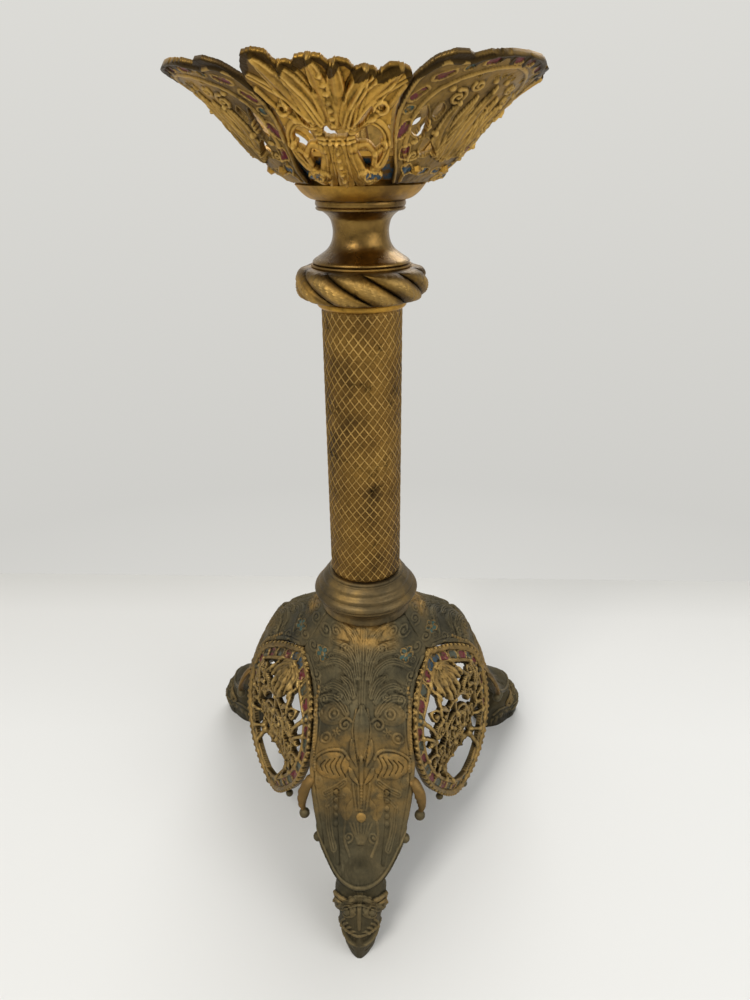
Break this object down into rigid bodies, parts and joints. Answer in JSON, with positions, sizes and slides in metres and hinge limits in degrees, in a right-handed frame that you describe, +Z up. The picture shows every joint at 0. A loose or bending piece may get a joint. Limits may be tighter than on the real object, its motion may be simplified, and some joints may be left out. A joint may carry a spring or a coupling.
{
  "type": "pricket candlestick",
  "caption": "Church altar candlestick with a pricket in a pierced drip pan, a lattice column and a footed base of cast legs with pierced medallions between them.",
  "frame": {"origin": "middle of the footprint's bounding box, on the floor", "axes": "+Z up along the stem, -Y towards the front leg; the stem's axis stands at y = 21.6 mm"},
  "size_m": [0.2142, 0.1996, 0.3951],
  "materials": {
    "gilt": "worn gilding, satin",
    "brass": "polished",
    "patina": "dark olive brown patina over worn gilding",
    "iron": "plain",
    "red_enamel": "glossy opaque enamel",
    "green_enamel": "glossy opaque enamel",
    "blue_enamel": "glossy opaque enamel"
  },
  "bodies": {
    "root": {"medallion_right": "patina", "medallion_screw_right_a": "patina", "medallion_screw_right_b": "patina", "medallion_rear": "patina", "medallion_screw_rear_a": "patina", "medallion_screw_rear_b": "patina", "medallion_left": "patina", "medallion_screw_left_a": "patina", "medallion_screw_left_b": "patina", "leg_front": "patina", "leg_right": "patina", "leg_left": "patina", "leg_clamp_plate": "iron", "rod_nut": "iron", "tie_rod": "iron", "collar": "patina", "column": "gilt", "column_foot_bush": "iron", "column_head_bush": "iron", "column_fillet": "gilt", "knop": "gilt", "neck": "brass", "pan_ring": "brass", "pan_rivet_right_a": "gilt", "pan_rivet_right_b": "gilt", "pan_lobe_right": "gilt", "pan_rivet_rear_a": "gilt", "pan_rivet_rear_b": "gilt", "pan_lobe_rear": "gilt", "pan_rivet_left_a": "gilt", "pan_rivet_left_b": "gilt", "pan_lobe_left": "gilt", "pan_palmette_front": "gilt", "pan_rivet_front": "gilt", "pan_palmette_right": "gilt", "pan_rivet_right": "gilt", "pan_palmette_left": "gilt", "pan_rivet_left": "gilt", "pan_cup": "gilt", "spike": "brass"}
  },
  "joints": []
}
